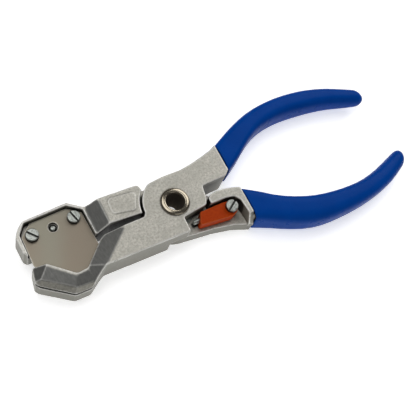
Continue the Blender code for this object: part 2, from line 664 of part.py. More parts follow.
def screw_mesh(name, seat, floor):
    """Slotted cheese-head screw about its own axis, head above the seat and shank down to the floor."""
    top = seat + SCREW_HEAD_HEIGHT
    profile = [
        (0.0, top), (SCREW_HEAD_RADIUS - 0.5, top), (SCREW_HEAD_RADIUS - 0.1, top - 0.25),
        (SCREW_HEAD_RADIUS, seat), (SCREW_SHANK_RADIUS, seat), (SCREW_SHANK_RADIUS, floor + 0.6),
        (SCREW_SHANK_RADIUS - 0.6, floor), (0.0, floor),
    ]
    return turned(name, profile, 32)


def add_screw(builder, name, place, seat, parent=None):
    """Place a slotted screw with its slot turned to its angle."""
    x, y, angle = place
    screw = builder.piece(name, screw_mesh(name, seat, HOLE_FLOOR + 0.4), ZINC, parent)
    screw.location = Vector((x, y, 0.0)) * MM
    screw.rotation_euler.z = math.radians(angle)
    top = seat + SCREW_HEAD_HEIGHT
    half = SCREW_HEAD_RADIUS + 1
    wide = SCREW_SLOT_WIDTH / 2
    outline = [(-half, -wide), (half, -wide), (half, wide), (-half, wide)]
    mesh = flat_mesh(name + "_slot", outline, top - SCREW_SLOT_DEPTH, top + 1)
    tool = add_object(name + "_slot_tool", mesh, builder.tools, screw)
    tool.hide_render = True
    tool.display_type = "WIRE"
    step = screw.modifiers.new("slot", "BOOLEAN")
    step.operation = "DIFFERENCE"
    step.solver = "EXACT"
    step.object = tool
    round_off(screw)


def add_screws(builder):
    """Blade screws, the blade's dowel and the catch's screw."""
    seat = BLADE_TOP + SEAT_GAP
    add_screw(builder, "blade_screw_outer", BLADE_SCREWS[0], seat)
    add_screw(builder, "blade_screw_inner", BLADE_SCREWS[1], seat)
    add_screw(builder, "catch_screw", CATCH_SCREW, CATCH_TOP + SEAT_GAP)
    top = BLADE_TOP - DOWEL_SINK
    profile = [
        (0.0, top), (DOWEL_RADIUS * 0.5, top - 0.15), (DOWEL_RADIUS * 0.85, top - 0.5),
        (DOWEL_RADIUS, top - 0.9), (DOWEL_RADIUS, HOLE_FLOOR + 2.2), (0.0, HOLE_FLOOR + 2.2),
    ]
    dowel = builder.piece("blade_dowel", turned("blade_dowel", profile, 24), ZINC)
    dowel.location = Vector((*DOWEL_PLACE, 0.0)) * MM
    round_off(dowel, 50)


def add_catch(builder):
    """Orange catch that swings about its screw, with the steel pin in its free end."""
    x, y, _angle = CATCH_SCREW
    axis = builder.empty("catch_axis", builder.root, (x, y, 0.0))
    points = [(px - x, py - y) for px, py in rounded(CATCH)]
    low = REAR_TOP + SEAT_GAP * 3
    catch = builder.piece("catch", flat_mesh("catch", points, low, CATCH_TOP), CATCH_ORANGE, axis)
    hole = SCREW_SHANK_RADIUS + RIVET_CLEARANCE
    builder.cut(catch, disc_mesh("catch_bore", (0.0, 0.0), hole, low - 1, CATCH_TOP + 1, 32))
    tip = Vector(CATCH_PIN_END) - Vector((x, y))
    height = (low + CATCH_TOP) / 2
    pocket = disc_mesh("pin_pocket", (0.0, 0.0), CATCH_PIN_RADIUS + 0.1, -CATCH_PIN_LENGTH - 0.2, 3.0, 20)
    pin = disc_mesh("catch_pin", (0.0, 0.0), CATCH_PIN_RADIUS, -CATCH_PIN_LENGTH, -0.35, 20)
    nose = disc_mesh("pin_nose", (0.0, 0.0), CATCH_PIN_RADIUS, -0.5, 0.0, 20, CATCH_PIN_RADIUS * 0.7)
    turn = Vector((0.0, 0.0, 1.0)).rotation_difference(Vector((-1.0, 0.0, 0.0))).to_matrix().to_4x4()
    turn.translation = Vector((tip.x, tip.y, height)) * MM
    for mesh in (pocket, pin, nose):
        mesh.transform(turn)
    builder.cut(catch, pocket)
    rod = builder.piece("catch_pin", pin, ZINC, axis)
    builder.join(rod, nose)
    round_off(rod)


def main():
    """Build the pliers."""
    clear_scene()
    builder = Builder()
    add_front_lever(builder)
    add_back_lever(builder)
    add_grips(builder)
    add_blade(builder)
    add_rivet(builder)
    add_screws(builder)
    add_catch(builder)


main()
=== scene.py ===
"""Looks of a pair of plate-blade cutting pliers: two cast levers on a hollow rivet, dipped grips.

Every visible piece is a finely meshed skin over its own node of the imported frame, so it takes its
place, size and motion from there.  Lengths are in metres, and the sizes of a skin's mesh and masks
are in millimetres where their descriptions say so.
"""

from __future__ import annotations

import json
import logging
import math
from dataclasses import dataclass
from enum import Enum

import bmesh
import bpy
import numpy as np
from mathutils import Matrix, Vector
from mathutils.bvhtree import BVHTree

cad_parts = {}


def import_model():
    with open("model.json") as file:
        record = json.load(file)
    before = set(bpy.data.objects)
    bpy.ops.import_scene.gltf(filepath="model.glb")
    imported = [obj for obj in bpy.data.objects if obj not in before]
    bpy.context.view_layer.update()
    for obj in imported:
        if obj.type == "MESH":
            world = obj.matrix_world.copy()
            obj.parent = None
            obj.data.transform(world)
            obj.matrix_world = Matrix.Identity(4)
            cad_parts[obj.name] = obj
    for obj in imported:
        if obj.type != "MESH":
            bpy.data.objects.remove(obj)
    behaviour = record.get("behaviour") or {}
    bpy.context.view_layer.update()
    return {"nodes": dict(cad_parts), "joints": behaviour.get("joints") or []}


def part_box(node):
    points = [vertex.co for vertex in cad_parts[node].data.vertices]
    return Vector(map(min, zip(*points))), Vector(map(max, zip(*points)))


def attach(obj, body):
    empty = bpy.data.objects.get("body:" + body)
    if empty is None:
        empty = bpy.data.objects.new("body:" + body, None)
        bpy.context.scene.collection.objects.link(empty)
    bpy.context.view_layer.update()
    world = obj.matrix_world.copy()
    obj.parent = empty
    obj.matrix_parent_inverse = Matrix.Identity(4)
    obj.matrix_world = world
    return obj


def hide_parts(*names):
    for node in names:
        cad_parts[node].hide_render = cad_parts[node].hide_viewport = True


LOG = logging.getLogger("cutting_pliers")
MM = 0.001
Colour = tuple[float, float, float]
Triple = tuple[float, float, float]
Band = tuple[float, float]
Node = bpy.types.Node
Socket = bpy.types.NodeSocket
Object = bpy.types.Object
Material = bpy.types.Material

# Most of a noise's values lie in this band.
USUAL: Band = (0.3, 0.7)
# Colour sockets of a Mix node, whose names are shared with its other types of socket.
MIX_FIRST, MIX_SECOND, MIX_RESULT = 6, 7, 2
WHITE: Colour = (1.0, 1.0, 1.0)


class Body(Enum):
    """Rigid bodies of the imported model."""

    BLADE_LEVER = "blade_lever"
    ANVIL_LEVER = "anvil_lever"
    CATCH_ARM = "catch_arm"


class Slot(Enum):
    """Material slots of the record."""

    ALLOY = "cast_alloy"
    GRIP = "grip_blue"
    BLADE = "blade_steel"
    ZINC = "zinc_steel"
    NICKEL = "rivet_nickel"
    ORANGE = "catch_orange"


class Mask(Enum):
    """Point attributes that the finishes read."""

    # Convex edges: part wear, part painted highlight.
    WEAR_AND_HIGHLIGHT = "edge_wear"
    CAVITY = "cavity"
    # Marks the gently tilted slopes that get painted shade.
    FACET = "dressed_face"
    WALL = "steep_wall"
    GAP = "narrow_gap"


class Shader:
    """Small helper that adds and links the nodes of one material."""

    def __init__(self, name: str) -> None:
        """Start a material with an empty Principled shader.

        Args:
            name: Name of the material.
        """
        self.material = bpy.data.materials.new(name)
        self.material.use_nodes = True
        self.tree = self.material.node_tree
        self.surface = self.tree.nodes["Principled BSDF"]
        self.place = self.add("ShaderNodeTexCoord").outputs["Object"]

    def add(self, kind: str) -> Node:
        """Add a node of a kind."""
        return self.tree.nodes.new(kind)

    def link(self, source: Socket, target: Socket) -> None:
        """Join an output to an input."""
        self.tree.links.new(source, target)

    def stretched(self, scale: Triple, turn: float) -> Socket:
        """Object coordinates scaled by an amount on each axis.

        Args:
            scale: Scale on x, y and z.
            turn: Turn about the vertical axis, in degrees.

        Returns:
            The scaled coordinates.
        """
        mapping = self.add("ShaderNodeMapping")
        mapping.inputs["Scale"].default_value = scale
        mapping.inputs["Rotation"].default_value = (0.0, 0.0, math.radians(turn))
        self.link(self.place, mapping.inputs["Vector"])
        return mapping.outputs["Vector"]

    def height(self) -> Socket:
        """Height above the floor, in metres.

        Returns:
            The height of each point of the surface.
        """
        split = self.add("ShaderNodeSeparateXYZ")
        self.link(self.place, split.inputs["Vector"])
        return split.outputs["Z"]

    def noise(
        self, size: float, detail: float = 3.0, rough: float = 0.55, where: Socket | None = None
    ) -> Socket:
        """Noise with grains of a size.

        Args:
            size: Size of the grains in metres.
            detail: Octaves of finer grain.
            rough: Share of the finer grain.
            where: Coordinates, or the object's own.

        Returns:
            The noise value.
        """
        node = self.add("ShaderNodeTexNoise")
        node.inputs["Scale"].default_value = 1.0 / size
        node.inputs["Detail"].default_value = detail
        node.inputs["Roughness"].default_value = rough
        self.link(where or self.place, node.inputs["Vector"])
        return node.outputs["Fac"]

    def ramp(self, value: Socket, band: Band = USUAL, result: Band = (0.0, 1.0)) -> Socket:
        """Map a value smoothly from one range to another.

        Args:
            value: Value to map.
            band: Where the ramp starts and ends.
            result: What it gives at its start and at its end.

        Returns:
            The mapped value.
        """
        node = self.add("ShaderNodeMapRange")
        node.interpolation_type = "SMOOTHSTEP"
        node.inputs["From Min"].default_value, node.inputs["From Max"].default_value = band
        node.inputs["To Min"].default_value, node.inputs["To Max"].default_value = result
        self.link(value, node.inputs["Value"])
        return node.outputs["Result"]

    def mask(self, which: Mask, share: float = 1.0) -> Socket:
        """Read one of the pieces' point attributes.

        Args:
            which: The mask.
            share: How much of it counts.

        Returns:
            The mask's value, times the share.
        """
        node = self.add("ShaderNodeAttribute")
        node.attribute_name = which.value
        value = node.outputs["Fac"]
        return value if share == 1.0 else self.times(value, share)

    def times(self, first: Socket, second: Socket | float) -> Socket:
        """Product of two values.

        Args:
            first: A value.
            second: Another value, or a plain number.

        Returns:
            The product.
        """
        node = self.add("ShaderNodeMath")
        node.operation = "MULTIPLY"
        self.link(first, node.inputs[0])
        if isinstance(second, (int, float)):
            node.inputs[1].default_value = second
        else:
            self.link(second, node.inputs[1])
        return node.outputs["Value"]

    def plus(self, first: Socket, second: Socket) -> Socket:
        """Sum of two values.

        Args:
            first: A value.
            second: Another value.

        Returns:
            The sum.
        """
        node = self.add("ShaderNodeMath")
        node.operation = "ADD"
        self.link(first, node.inputs[0])
        self.link(second, node.inputs[1])
        return node.outputs["Value"]

    def mix(self, share: Socket, first: Socket | Colour, second: Socket | Colour) -> Socket:
        """Blend two colours.

        Args:
            share: How much of the second.
            first: Colour at nought.
            second: Colour at one.

        Returns:
            The blended colour.
        """
        node = self.add("ShaderNodeMix")
        node.data_type = "RGBA"
        self.link(share, node.inputs["Factor"])
        for index, colour in ((MIX_FIRST, first), (MIX_SECOND, second)):
            if isinstance(colour, tuple):
                node.inputs[index].default_value = (*colour, 1.0)
            else:
                self.link(colour, node.inputs[index])
        return node.outputs[MIX_RESULT]

    def bump(
        self, height: Socket, depth: float, strength: float = 1.0, under: Socket | None = None
    ) -> Socket:
        """Surface relief from a height.

        Args:
            height: Height between nought and one.
            depth: What one stands for, in metres.
            strength: Strength of the relief.
            under: Normal that the relief is added to.

        Returns:
            The bumped normal.
        """
        node = self.add("ShaderNodeBump")
        node.inputs["Strength"].default_value = strength
        node.inputs["Distance"].default_value = depth
        self.link(height, node.inputs["Height"])
        if under:
            self.link(under, node.inputs["Normal"])
        return node.outputs["Normal"]

    def finish(
        self, colour: Socket, rough: Socket, normal: Socket, metallic: float, **constant: float
    ) -> Material:
        """Link the surface's sockets and set its constants.

        Args:
            colour: Base colour.
            rough: Roughness.
            normal: Normal.
            metallic: Metallic share.
            constant: Other sockets by name, with _ for a space.

        Returns:
            The finished material.
        """
        self.link(colour, self.surface.inputs["Base Color"])
        self.link(rough, self.surface.inputs["Roughness"])
        self.link(normal, self.surface.inputs["Normal"])
        self.surface.inputs["Metallic"].default_value = metallic
        for name, value in constant.items():
            self.surface.inputs[name.replace("_", " ")].default_value = value
        return self.material


@dataclass(frozen=True)
class CastFinish:
    """Tumbled as-cast alloy: mottled skin, bright edges that are part wear and part painted highlight, and
    painted shade on slopes, walls, corners and gaps.

    Attributes:
        light: Lighter colour of the mottled skin.
        dark: Its darker colour.
        slope_shade: Painted shade on the gently tilted slopes, in the troughs of their streaks.
        streak_gain: How much lighter the streaks' crests are.
        painted_wall_shade: Painted shade on the steep walls.
        worn_and_highlit: Bright edge colour, part bare metal of worn edges and part painted highlight.
        corner_shade: Painted shade in inside corners.
        gap_shade: Painted shade in narrow gaps.
        mottle_band: Part of the mottle's noise that goes from dark to light.
        stain_band: Part of the cloudy noise that brings in the stains.
        chip_band: Part of the chips' noise that breaks up the bright edges.
        stain_share: How much the stains darken the skin.
        wall_mottle: How much of the mottle is left on the walls.
        corner_shade_share: How much the corner shade covers.
        gap_shade_share: How much the gap shade covers.
        mottle_grain: Size of the mottle.
        stain_grain: Size of the stains.
        streak_grain: Width of the dressing streaks.
        streak_scale: Stretch of the streaks.
        streak_turn: Turn of the streaks, in degrees.
        chip_grain: Size of the chips along an edge.
        pit_grain: Size of the fine pits.
        pit_depth: Depth of the pits.
        swell_grain: Size of the broad unevenness.
        swell_depth: Depth of that unevenness.
        roughness: Roughness from the smoothest to the dullest spots.
        metallic: Metallic share.
    """

    name: str = "tumbled_casting"
    light: Colour = (0.54, 0.52, 0.465)
    dark: Colour = (0.33, 0.32, 0.28)
    slope_shade: Colour = (0.10, 0.10, 0.094)
    streak_gain: float = 1.25
    painted_wall_shade: Colour = (0.185, 0.18, 0.148)
    worn_and_highlit: Colour = (0.78, 0.77, 0.73)
    corner_shade: Colour = (0.07, 0.065, 0.055)
    gap_shade: Colour = (0.010, 0.009, 0.007)
    mottle_band: Band = (0.33, 0.67)
    stain_band: Band = (0.4, 0.65)
    chip_band: Band = (0.2, 0.5)
    stain_share: float = 0.45
    wall_mottle: float = 0.35
    corner_shade_share: float = 0.75
    gap_shade_share: float = 0.93
    mottle_grain: float = 1.1 * MM
    stain_grain: float = 7.0 * MM
    streak_grain: float = 1.0 * MM
    streak_scale: Triple = (1.0, 0.25, 1.0)
    streak_turn: float = 40.0
    chip_grain: float = 1.6 * MM
    pit_grain: float = 0.55 * MM
    pit_depth: float = 0.07 * MM
    swell_grain: float = 2.4 * MM
    swell_depth: float = 0.12 * MM
    roughness: Band = (0.36, 0.52)
    metallic: float = 0.5

    def build(self) -> Material:
        """Make the material.

        Returns:
            The material of both castings.
        """
        shade = Shader(self.name)
        mottle = shade.noise(self.mottle_grain, 4.0, 0.7)
        colour = self.skin_colour(shade, mottle)
        # Bright convex edges: part wear, part painted highlight.
        wear_and_highlight = shade.times(shade.mask(Mask.WEAR_AND_HIGHLIGHT), shade.ramp(shade.noise(self.chip_grain), self.chip_band))
        colour = shade.mix(wear_and_highlight, colour, self.worn_and_highlit)
        # Painted shade in inside corners.
        colour = shade.mix(shade.mask(Mask.CAVITY, self.corner_shade_share), colour, self.corner_shade)
        # Painted shade in narrow gaps, from how near the next surface is.
        colour = shade.mix(shade.mask(Mask.GAP, self.gap_shade_share), colour, self.gap_shade)
        relief = shade.bump(shade.noise(self.pit_grain, 3.0, 0.65), self.pit_depth, 0.7)
        relief = shade.bump(shade.noise(self.swell_grain, 2.0), self.swell_depth, 0.5, relief)
        return shade.finish(colour, shade.ramp(mottle, USUAL, self.roughness), relief, self.metallic)

    def skin_colour(self, shade: Shader, mottle: Socket) -> Socket:
        """Colour of the casting's skin with the painted shade of its walls and slopes, before its bright
        edges and the painted shade in its corners and gaps.

        Args:
            shade: Shader of the material.
            mottle: Noise of the mottled skin.

        Returns:
            The colour.
        """
        skin = shade.mix(shade.ramp(mottle, self.mottle_band), self.dark, self.light)
        darkening = shade.ramp(shade.noise(self.stain_grain, 2.0), self.stain_band, (0.0, self.stain_share))
        skin = shade.mix(darkening, skin, self.dark)
        # Painted shade: steep walls, found by their tilt, are turned darker.
        walls = shade.ramp(mottle, USUAL, (0.0, self.wall_mottle))
        walls = shade.mix(walls, self.painted_wall_shade, self.dark)
        skin = shade.mix(shade.mask(Mask.WALL), skin, walls)
        # Painted shade: gently tilted slopes, found by their tilt, get a dark streaked colour.
        where = shade.stretched(self.streak_scale, self.streak_turn)
        streaks = shade.ramp(shade.noise(self.streak_grain, 3.0, 0.6, where))
        crests = tuple(self.streak_gain * channel for channel in self.slope_shade)
        slope_shade = shade.mix(streaks, self.slope_shade, crests)
        return shade.mix(shade.mask(Mask.FACET), skin, slope_shade)


@dataclass(frozen=True)
class GripFinish:
    """Glossy dipped vinyl with a faint orange-peel and dull handling marks.

    Attributes:
        colour: Main blue.
        deep: Deeper blue of its clouds.
        cloud_grain: Size of the clouds.
        mark_grain: Size of the handling marks.
        mark_band: Part of their noise that goes from glossy to dull.
        peel_grain: Size of the orange-peel.
        peel_depth: Its depth.
        roughness: Roughness from glossy to dull.
        specular: Strength of the gloss.
    """

    name: str = "dipped_vinyl"
    colour: Colour = (0.0003, 0.054, 0.315)
    deep: Colour = (0.0002, 0.049, 0.29)
    cloud_grain: float = 14.0 * MM
    mark_grain: float = 5.0 * MM
    mark_band: Band = (0.3, 0.75)
    peel_grain: float = 12.0 * MM
    peel_depth: float = 0.08 * MM
    roughness: Band = (0.26, 0.38)
    specular: float = 0.03

    def build(self) -> Material:
        """Make the material.

        Returns:
            The material of both grips.
        """
        shade = Shader(self.name)
        colour = shade.mix(shade.ramp(shade.noise(self.cloud_grain)), self.deep, self.colour)
        rough = shade.ramp(shade.noise(self.mark_grain, 4.0, 0.6), self.mark_band, self.roughness)
        relief = shade.bump(shade.noise(self.peel_grain, 2.0), self.peel_depth, 0.5)
        return shade.finish(colour, rough, relief, 0.0, Specular_IOR_Level=self.specular)


@dataclass(frozen=True)
class BladeFinish:
    """Surface-ground tool steel with a brown temper tint and fine grinding lines.

    Attributes:
        cool: Grey of the plate.
        warm: Brown of its temper tint.
        line: Colour of the grinding lines.
        worn_and_highlit: Bright edge, part wear and part painted highlight.
        tint_grain: Size of the tint's patches.
        tint_band: Part of their noise that goes from grey to brown.
        line_grain: Width of the grinding lines.
        line_scale: Stretch of the lines.
        line_turn: Turn of the lines, in degrees.
        line_share: How much the lines show.
        line_depth: Depth of the lines.
        roughness: Roughness from the smoothest to the dullest spots.
        metallic: Metallic share.
    """

    name: str = "ground_blade"
    cool: Colour = (0.215, 0.203, 0.158)
    warm: Colour = (0.205, 0.172, 0.13)
    line: Colour = (0.26, 0.245, 0.2)
    worn_and_highlit: Colour = (0.55, 0.53, 0.47)
    tint_grain: float = 30.0 * MM
    tint_band: Band = (0.35, 0.65)
    line_grain: float = 0.25 * MM
    line_scale: Triple = (1.0, 0.02, 1.0)
    line_turn: float = 18.0
    line_share: float = 0.08
    line_depth: float = 0.004 * MM
    roughness: Band = (0.36, 0.40)
    metallic: float = 0.6

    def build(self) -> Material:
        """Make the material.

        Returns:
            The material of the plate blade.
        """
        shade = Shader(self.name)
        tint = shade.ramp(shade.noise(self.tint_grain, 1.0), self.tint_band)
        colour = shade.mix(tint, self.cool, self.warm)
        lines = shade.noise(self.line_grain, 2.0, 0.5, shade.stretched(self.line_scale, self.line_turn))
        colour = shade.mix(shade.ramp(lines, USUAL, (0.0, self.line_share)), colour, self.line)
        # Bright convex edges: part wear, part painted highlight.
        colour = shade.mix(shade.mask(Mask.WEAR_AND_HIGHLIGHT), colour, self.worn_and_highlit)
        rough = shade.ramp(lines, USUAL, self.roughness)
        return shade.finish(colour, rough, shade.bump(lines, self.line_depth, 0.4), self.metallic)


@dataclass(frozen=True)
class PlatedFinish:
    """Plated steel with a fine grain, painted shade in its recesses and bright rubbed edges.

    Attributes:
        name: Name of the material.
        light: Lighter colour of the plate.
        dark: Its darker colour.
        roughness: Roughness from the smoothest to the dullest spots.
        shaded_below: Height under which the plate is painted dark as shade, such as inside a bore.
        shade_fade: Height over which that painted shade comes in.
        darkening: Colour of that painted shade.
        shade_dullness: Roughness that the shaded part adds.
        rubbed_gain: How much lighter a rubbed edge is.
        corner_shade: Painted shade in inside corners.
        corner_shade_share: How much the corner shade covers.
        gap_shade: Painted shade in a screw's slot.
        gap_shade_share: How much the gap shade covers.
        grain: Size of the plate's grain.
        grain_depth: Depth of the grain.
        metallic: Metallic share.
        specular: Strength of the gloss where the plate isn't metallic.
    """

    name: str
    light: Colour
    dark: Colour
    roughness: Band
    shaded_below: float = -1.0
    shade_fade: float = 1.2 * MM
    darkening: Colour = (0.075, 0.062, 0.045)
    shade_dullness: float = 0.7
    rubbed_gain: float = 1.4
    corner_shade: Colour = (0.03, 0.028, 0.024)
    corner_shade_share: float = 0.8
    gap_shade: Colour = (0.012, 0.011, 0.009)
    gap_shade_share: float = 0.85
    grain: float = 0.9 * MM
    grain_depth: float = 0.03 * MM
    metallic: float = 0.95
    specular: float = 0.1

    def build(self) -> Material:
        """Make the material.

        Returns:
            The material of a plated part.
        """
        shade = Shader(self.name)
        grain = shade.noise(self.grain, 4.0, 0.6)
        colour = shade.mix(shade.ramp(grain), self.dark, self.light)
        rubbed = tuple(min(1.0, self.rubbed_gain * channel) for channel in self.light)
        colour = shade.mix(shade.mask(Mask.WEAR_AND_HIGHLIGHT), colour, rubbed)
        # Painted shade in inside corners.
        colour = shade.mix(shade.mask(Mask.CAVITY, self.corner_shade_share), colour, self.corner_shade)
        # Painted shade in a screw's slot.
        colour = shade.mix(shade.mask(Mask.GAP, self.gap_shade_share), colour, self.gap_shade)
        rough = shade.ramp(grain, USUAL, self.roughness)
        # Painted shade: the plate is turned dark and dull below a height, such as inside the bore.
        if self.shaded_below > 0:
            height = shade.height()
            fade = (self.shaded_below - self.shade_fade, self.shaded_below)
            deep = shade.ramp(height, fade, (1.0, 0.0))
            colour = shade.mix(deep, colour, self.darkening)
            rough = shade.plus(rough, shade.times(deep, self.shade_dullness))
            shade.link(shade.ramp(height, fade), shade.surface.inputs["Metallic"])
        relief = shade.bump(grain, self.grain_depth, 0.4)
        return shade.finish(colour, rough, relief, self.metallic, Specular_IOR_Level=self.specular)


@dataclass(frozen=True)
class CoatFinish:
    """Even satin orange coat with slightly rubbed edges.

    Attributes:
        colour: Main orange.
        pale: Paler orange of its grain.
        rubbed: Colour of the rubbed edges.
        rubbed_share: How much of it shows.
        grain: Size of the coat's grain.
        grain_depth: Depth of the grain.
        roughness: Roughness from the smoothest to the dullest spots.
        specular: Strength of the gloss.
    """

    name: str = "orange_coat"
    colour: Colour = (0.37, 0.036, 0.001)
    pale: Colour = (0.41, 0.044, 0.002)
    rubbed: Colour = (0.62, 0.16, 0.04)
    rubbed_share: float = 0.35
    grain: float = 1.2 * MM
    grain_depth: float = 0.02 * MM
    roughness: Band = (0.42, 0.5)
    specular: float = 0.06

    def build(self) -> Material:
        """Make the material.

        Returns:
            The material of the catch.
        """
        shade = Shader(self.name)
        grain = shade.noise(self.grain)
        colour = shade.mix(shade.ramp(grain), self.colour, self.pale)
        colour = shade.mix(shade.mask(Mask.WEAR_AND_HIGHLIGHT, self.rubbed_share), colour, self.rubbed)
        rough = shade.ramp(grain, USUAL, self.roughness)
        relief = shade.bump(grain, self.grain_depth, 0.5)
        return shade.finish(colour, rough, relief, 0.0, Specular_IOR_Level=self.specular)


@dataclass(frozen=True)
class FloorFinish:
    """Pale matte floor that glows a little, so that it stays even and bright.

    Attributes:
        grey: Darker grey of its clouds.
        pale: Lighter grey.
        cloud_grain: Size of the clouds.
        cloud_depth: Depth of their relief.
        roughness: Roughness from the smoothest to the dullest spots.
        specular: Strength of the gloss.
        glow: Strength of the white glow.
    """

    name: str = "pale_floor"
    grey: Colour = (0.93, 0.93, 0.93)
    pale: Colour = (0.95, 0.95, 0.95)
    cloud_grain: float = 0.5
    cloud_depth: float = 0.01 * MM
    roughness: Band = (0.7, 0.8)
    specular: float = 0.1
    glow: float = 0.58

    def build(self) -> Material:
        """Make the material.

        Returns:
            The material of the floor.
        """
        shade = Shader(self.name)
        cloud = shade.ramp(shade.noise(self.cloud_grain, 2.0))
        colour = shade.mix(cloud, self.grey, self.pale)
        rough = shade.ramp(cloud, (0.0, 1.0), self.roughness)
        shade.surface.inputs["Emission Color"].default_value = (*WHITE, 1.0)
        return shade.finish(
            colour, rough, shade.bump(cloud, self.cloud_depth), 0.0,
            Specular_IOR_Level=self.specular, Emission_Strength=self.glow,
        )


@dataclass
class Finishes:
    """The six finishes of the tool, each made once."""

    cast: Material
    grip: Material
    blade: Material
    zinc: Material
    nickel: Material
    orange: Material

    @classmethod
    def make(cls, shade_depth: float = 0.5 * MM) -> Finishes:
        """Build every material.

        Args:
            shade_depth: Depth under the rivet's top at which the painted shade in its bore begins.

        Returns:
            The finishes.
        """
        # The rivet's bore gets painted shade below this height.
        bore_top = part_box("pivot_rivet")[1].z - shade_depth
        zinc = PlatedFinish("zinc_plate", (0.40, 0.42, 0.39), (0.19, 0.20, 0.185), (0.28, 0.45))
        nickel = PlatedFinish(
            "warm_nickel", (0.30, 0.265, 0.205), (0.22, 0.195, 0.15), (0.12, 0.2), shaded_below=bore_top
        )
        return cls(
            cast=CastFinish().build(),
            grip=GripFinish().build(),
            blade=BladeFinish().build(),
            zinc=zinc.build(),
            nickel=nickel.build(),
            orange=CoatFinish().build(),
        )


class Spread:
    """Averages and spreads values along the edges of a mesh."""

    HALF = 0.5
    TRACE = 0.001

    def __init__(self, ends: np.ndarray, count: int) -> None:
        """Keep both directions of every edge.

        Args:
            ends: The two points of each edge.
            count: Number of points.
        """
        self.source = np.concatenate((ends[:, 0], ends[:, 1]))
        self.target = np.concatenate((ends[:, 1], ends[:, 0]))
        self.degree = np.maximum(np.bincount(self.target, minlength=count), 1)
        self.count = count

    def mean(self, values: np.ndarray) -> np.ndarray:
        """Mean of each point's neighbours.

        Args:
            values: A number or a row of numbers for each point.

        Returns:
            The means, in the same shape.
        """
        if values.ndim == 1:
            return np.bincount(self.target, values[self.source], self.count) / self.degree
        return np.stack([self.mean(values[:, axis]) for axis in range(values.shape[1])], axis=1)

    def blur(self, values: np.ndarray, rounds: int) -> np.ndarray:
        """Average with the neighbours some times over.

        Args:
            values: A number for each point.
            rounds: How many times.

        Returns:
            The blurred values.
        """
        for _ in range(rounds):
            values = (values + self.mean(values)) / 2
        return values

    def shrink(self, mask: np.ndarray, rounds: int) -> np.ndarray:
        """Draw a mask in by a ring of points each round.

        Args:
            mask: Nought or one for each point.
            rounds: How many rings.

        Returns:
            The smaller mask.
        """
        for _ in range(rounds):
            mask = ((self.mean(mask) > 1.0 - self.TRACE) & (mask > self.HALF)).astype(float)
        return mask

    def grow(self, mask: np.ndarray, rounds: int) -> np.ndarray:
        """Let a mask out by a ring of points each round.

        Args:
            mask: Nought or one for each point.
            rounds: How many rings.

        Returns:
            The larger mask.
        """
        for _ in range(rounds):
            mask = ((self.mean(mask) > self.TRACE) | (mask > self.HALF)).astype(float)
        return mask


@dataclass(frozen=True)
class MaskRules:
    """How the masks are drawn from the shape of a mesh.

    A bulge or hollow is measured in sizes of the mesh, and a tilt is the upward share of a normal.

    Attributes:
        wear_and_highlight_gain: Edge wear and painted highlight for a bulge of one.
        wear_and_highlight_start: Taken off them, so that flat faces stay clean.
        cavity_gain: Painted corner shade for a hollow of one.
        cavity_start: Painted corner shade taken off.
        facet_tilt: Least and greatest tilt of a slope that gets painted shade.
        facet_draw_in: Rings that a shaded patch is drawn in by, which drops its specks.
        facet_let_out: Rings that it is let out by again.
        wall_tilt: Tilt under which a face begins to count as a wall.
        wall_span: Change of tilt over which it becomes one.
        gap_shade_gain: Painted gap shade for a closeness of one.
        close_gain: Closeness for a gap of no width.
        look_up: How much the look for the next surface leans up.
        step_off: How far off its own surface the look starts, in millimetres.
        slot_tilt: Least tilt of a face in a slot that gets painted shade.
    """

    wear_and_highlight_gain: float = 14.0
    wear_and_highlight_start: float = 0.2
    cavity_gain: float = 9.0
    cavity_start: float = 0.1
    facet_tilt: Band = (0.86, 0.992)
    facet_draw_in: int = 4
    facet_let_out: int = 5
    wall_tilt: float = 0.86
    wall_span: float = 0.3
    gap_shade_gain: float = 1.8
    close_gain: float = 1.6
    look_up: float = 0.5
    step_off: float = 0.5
    slot_tilt: float = -0.3


